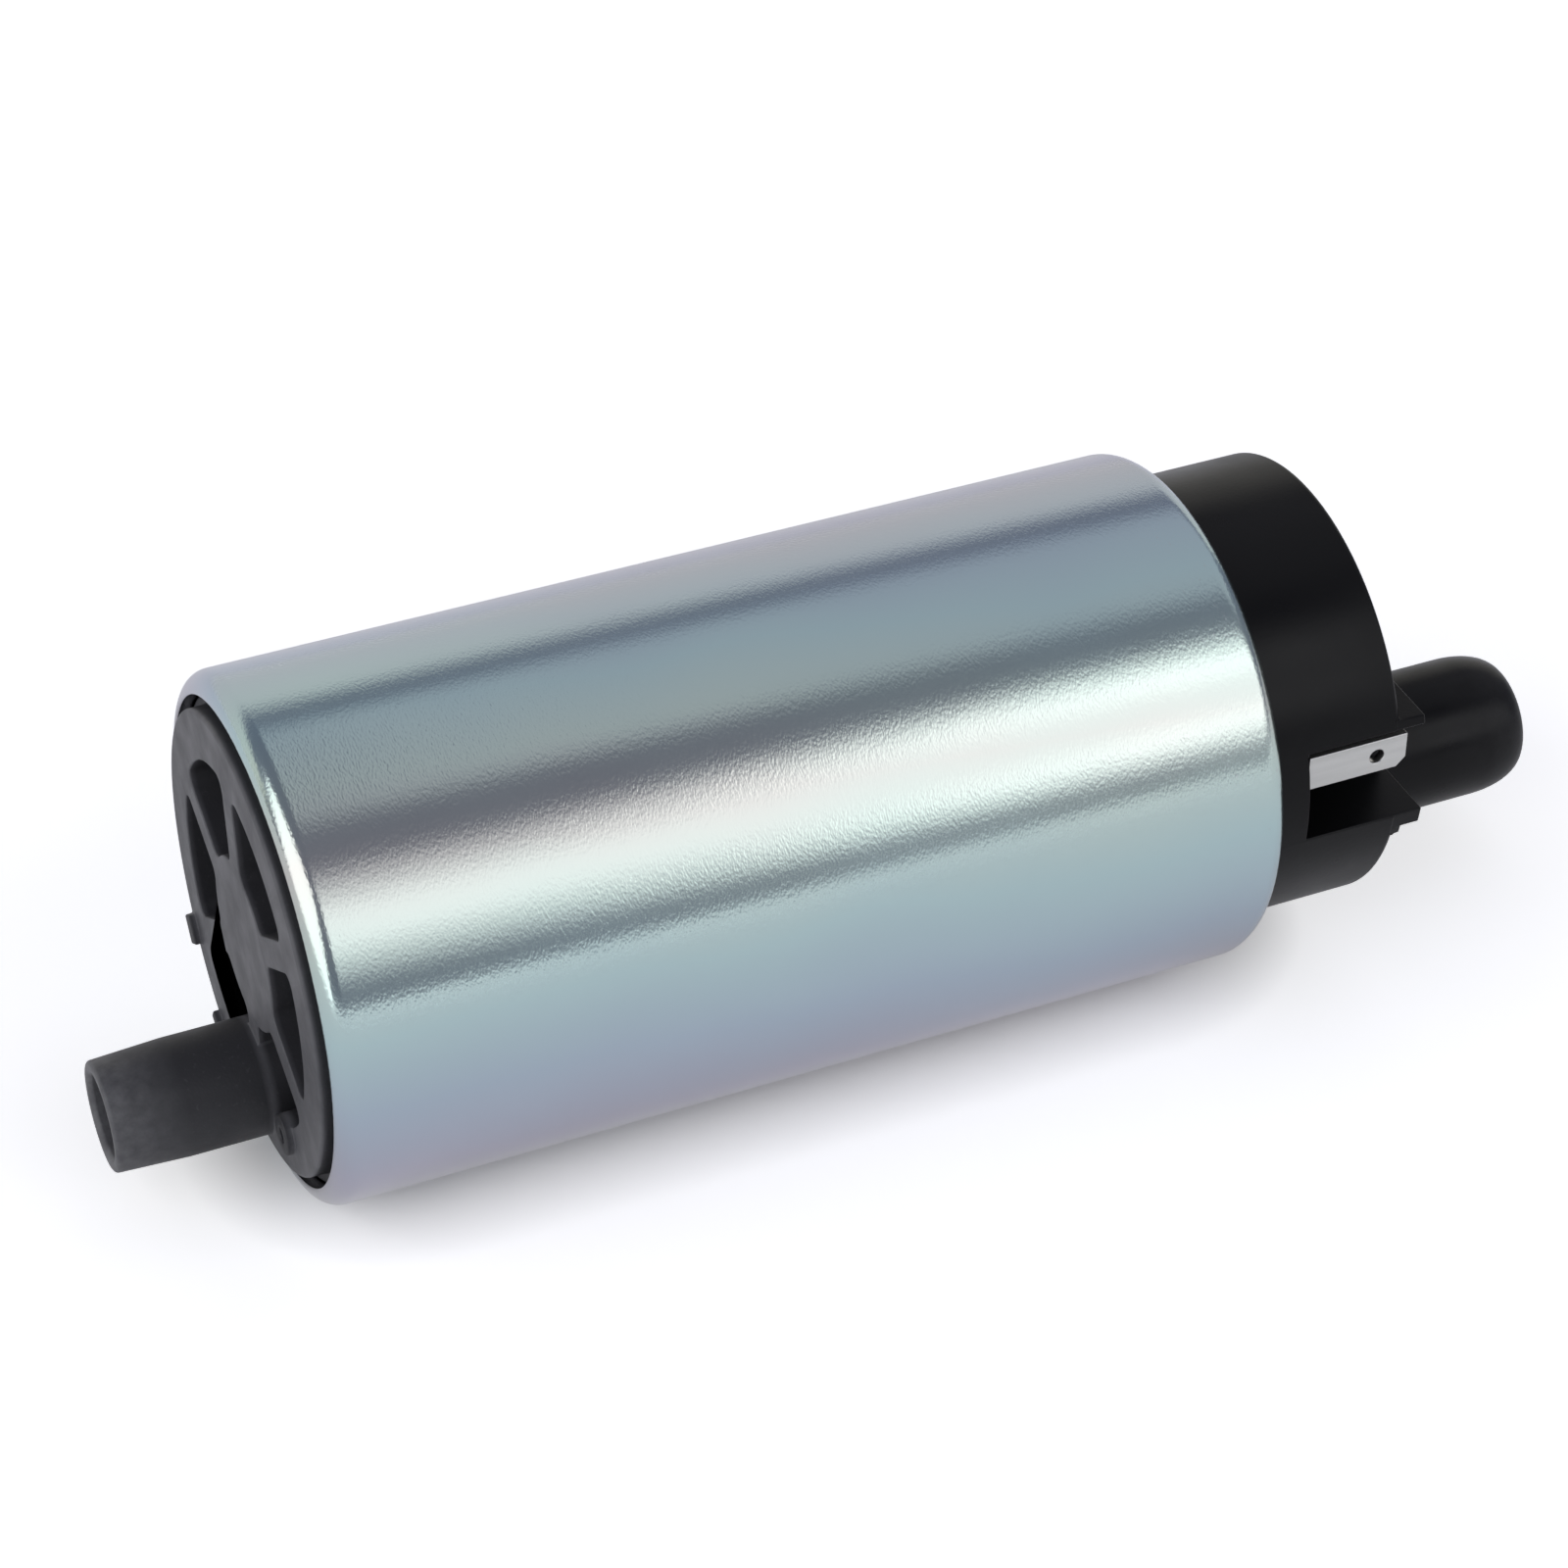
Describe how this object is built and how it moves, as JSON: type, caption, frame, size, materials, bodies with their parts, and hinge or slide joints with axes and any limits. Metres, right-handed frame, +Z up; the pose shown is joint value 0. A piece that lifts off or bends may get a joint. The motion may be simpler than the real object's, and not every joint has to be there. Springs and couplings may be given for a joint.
{
  "type": "fuel pump",
  "caption": "Cylindrical in-tank electric fuel pump: zinc-plated steel shell, ribbed inlet cover with nipple, black outlet cover with nipple and blade terminals.",
  "frame": {"origin": "on the pump axis, half way along the steel shell; the shell rests on the plane 19 mm below it", "axes": "+X along the pump axis from the inlet end to the outlet end, +Z up with both nipples below the axis, -Y the side of the terminal that the picture shows"},
  "size_m": [0.1115, 0.038, 0.038],
  "materials": {
    "zinc_plated_steel": "satin zinc plate with clear blue passivation",
    "dark_grey_plastic": "moulded acetal, matt",
    "black_plastic": "moulded glass-filled nylon, satin",
    "tinned_brass": "dull tin plate",
    "hard_steel": "ground",
    "soft_steel": "plain rolled",
    "spring_steel": "drawn wire or strip",
    "cast_aluminium": "die cast",
    "phenolic": "moulded phenolic resin",
    "natural_plastic": "moulded, undyed",
    "seal_rubber": "smooth",
    "sintered_bronze": "porous, oil filled",
    "bare_brass": "turned",
    "bare_copper": "bare",
    "enamelled_copper": "enamelled wire",
    "ferrite": "sintered, ground",
    "carbon": "pressed graphite"
  },
  "bodies": {
    "pump": {"shell": "zinc_plated_steel", "inlet_cover": "dark_grey_plastic", "thrust_button": "hard_steel", "pump_casing": "cast_aluminium", "casing_seal": "seal_rubber", "lower_bush": "sintered_bronze", "flux_ring": "soft_steel", "magnet_upper": "ferrite", "magnet_lower": "ferrite", "magnet_clips": "spring_steel", "brush_holder": "natural_plastic", "upper_bush": "sintered_bronze", "brush_spring_front": "spring_steel", "brush_spring_rear": "spring_steel", "brush_lead_front": "bare_copper", "brush_lead_rear": "bare_copper", "choke_core_front": "ferrite", "choke_core_rear": "ferrite", "choke_coil_front": "enamelled_copper", "choke_coil_rear": "enamelled_copper", "terminal_front": "tinned_brass", "terminal_rear": "tinned_brass", "outlet_cover": "black_plastic", "cover_seal": "seal_rubber", "check_seat": "bare_brass", "check_spring": "spring_steel", "relief_spring": "spring_steel", "relief_plug": "bare_brass"},
    "rotor": {"armature_shaft": "hard_steel", "armature_core": "soft_steel", "armature_windings": "enamelled_copper", "commutator_hub": "phenolic", "commutator_bars": "bare_copper", "impeller": "phenolic"},
    "front_brush": {"brush_front": "carbon"},
    "rear_brush": {"brush_rear": "carbon"},
    "check_valve": {"check_poppet": "natural_plastic", "check_seal": "seal_rubber"},
    "relief_valve": {"relief_ball": "hard_steel"}
  },
  "joints": [
    {"name": "rotor_spin", "type": "hinge", "parent": "pump", "child": "rotor", "pos_m": [0, 0, 0], "axis": [1, 0, 0], "continuous": true},
    {"name": "front_brush_slide", "type": "slide", "parent": "pump", "child": "front_brush", "axis": [1, 0, 0], "range_m": [0, 0.0025], "stiffness_N_per_m": 150, "springref_m": -0.004, "deforming": ["brush_spring_front", "brush_lead_front"]},
    {"name": "rear_brush_slide", "type": "slide", "parent": "pump", "child": "rear_brush", "axis": [1, 0, 0], "range_m": [0, 0.0025], "stiffness_N_per_m": 150, "springref_m": -0.004, "deforming": ["brush_spring_rear", "brush_lead_rear"]},
    {"name": "check_valve_lift", "type": "slide", "parent": "pump", "child": "check_valve", "axis": [1, 0, 0], "range_m": [0, 0.002], "stiffness_N_per_m": 80, "springref_m": -0.003, "deforming": ["check_spring"]},
    {"name": "relief_valve_lift", "type": "slide", "parent": "pump", "child": "relief_valve", "axis": [1, 0, 0], "range_m": [0, 0.0015], "stiffness_N_per_m": 800, "springref_m": -0.003, "deforming": ["relief_spring"]}
  ]
}
